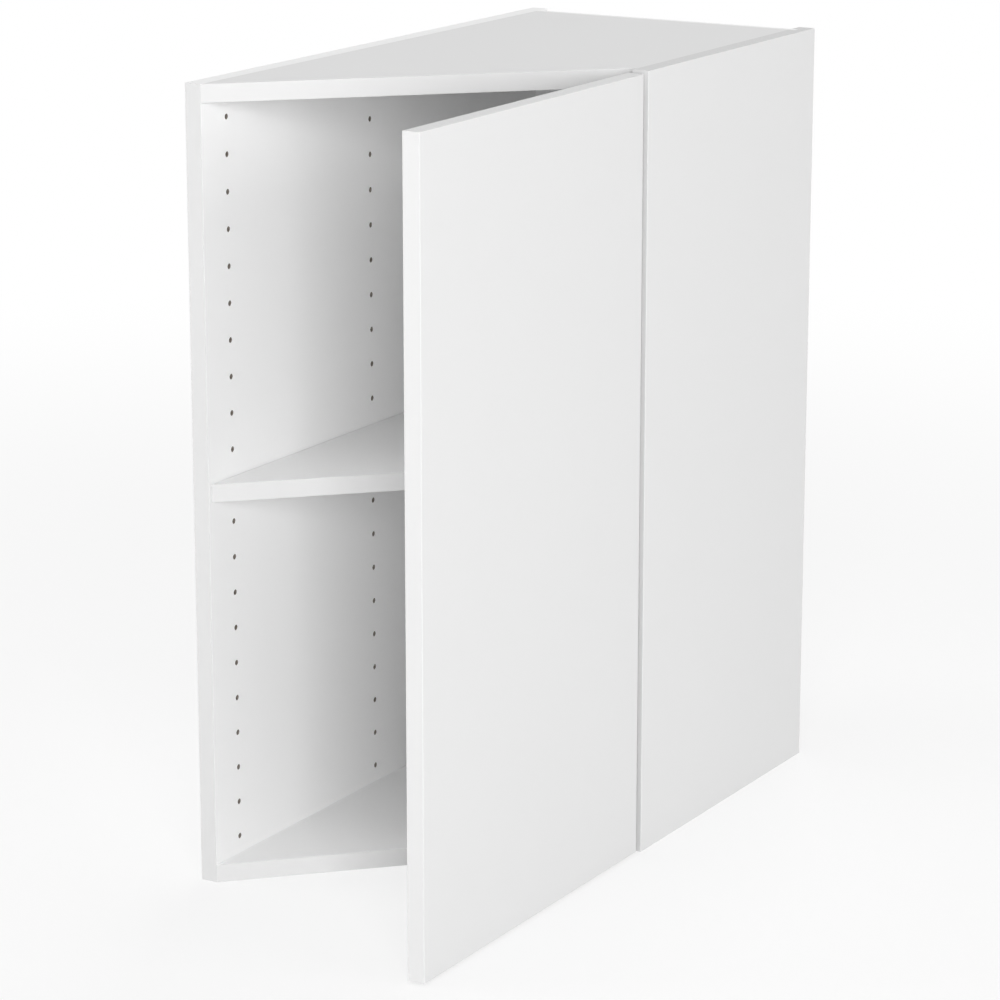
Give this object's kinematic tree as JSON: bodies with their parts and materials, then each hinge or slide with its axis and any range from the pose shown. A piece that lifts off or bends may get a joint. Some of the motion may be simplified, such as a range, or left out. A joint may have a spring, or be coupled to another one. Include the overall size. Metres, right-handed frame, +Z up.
{
  "type": "angled base end cabinet",
  "caption": "Narrow kitchen base cabinet that ends a run: front cut at 45 degrees between a deep and a shallow side, with a shelf and one door on concealed link hinges.",
  "frame": {"origin": "on the underside, in the middle of the width and of the depth of the deep left side", "axes": "+Z up, the front faces -Y, +X to the right seen from the front"},
  "size_m": [0.3, 0.6919, 0.704],
  "materials": {
    "carcass_board": "white melamine on chipboard, fine satin",
    "back_board": "white faced thin board, satin",
    "door_board": "white melamine on chipboard, fine satin",
    "edge_band": "white edge band, satin",
    "door_edge": "white edge band, satin",
    "beech": "fluted beech dowel",
    "bumper": "soft clear dot",
    "cast_zinc": "die-cast, dull",
    "zinc_plated_steel": "zinc plated, bright",
    "nickel_die_cast": "nickel plated, smooth",
    "nickel_steel": "nickel plated pressed steel"
  },
  "bodies": {
    "carcass": {"side_panel_left": "carcass_board", "side_panel_right": "carcass_board", "edge_band_left": "edge_band", "edge_band_right": "edge_band", "top_panel": "carcass_board", "bottom_panel": "carcass_board", "edge_band_top": "edge_band", "edge_band_bottom": "edge_band", "back_panel": "back_board", "back_screws": "zinc_plated_steel", "shelf_pins": "zinc_plated_steel", "dowels": "beech", "cam_housings": "cast_zinc", "cam_bolts": "zinc_plated_steel", "hinge_arm_upper": "nickel_steel", "hinge_plate_upper": "nickel_die_cast", "hinge_arm_lower": "nickel_steel", "hinge_plate_lower": "nickel_die_cast", "hinge_arm_pins": "nickel_steel", "hinge_arm_rivets": "nickel_steel", "hinge_plate_screws": "zinc_plated_steel", "hinge_clamp_screws": "zinc_plated_steel", "hinge_depth_screws": "zinc_plated_steel"},
    "shelf": {"shelf": "carcass_board", "edge_band_shelf": "edge_band"},
    "long_links": {"hinge_long_link_upper": "nickel_steel", "hinge_long_link_lower": "nickel_steel"},
    "short_links": {"hinge_short_links_upper": "nickel_steel", "hinge_short_links_lower": "nickel_steel"},
    "door": {"door_panel": "door_board", "door_edge_band": "door_edge", "door_bumpers": "bumper", "hinge_cup_upper": "nickel_die_cast", "hinge_cup_lower": "nickel_die_cast", "hinge_cup_pins": "nickel_steel", "hinge_cup_screws": "zinc_plated_steel"}
  },
  "joints": [
    {"name": "link_turn", "type": "hinge", "parent": "carcass", "child": "long_links", "pos_m": [0.129, -0.0044, 0.352], "axis": [0, 0, 1], "range_deg": [-22.5, 25]},
    {"name": "door_turn", "type": "hinge", "parent": "long_links", "child": "door", "pos_m": [0.138, -0.0469, 0.352], "axis": [0, 0, 1], "range_deg": [-22.5, 25]},
    {"name": "outer_link_turn", "type": "hinge", "parent": "carcass", "child": "short_links", "pos_m": [0.13015, -0.0096, 0.352], "axis": [0, 0, 1], "range_deg": [-29.35, 32.6]},
    {"name": "shelf_lift", "type": "slide", "parent": "carcass", "child": "shelf", "axis": [0, 0, 1], "range_m": [0, 0.192]}
  ],
  "couplings": [
    {"joint": "link_turn", "follows": "door_turn", "ratio": 1},
    {"joint": "outer_link_turn", "follows": "door_turn", "ratio": 1.304}
  ]
}
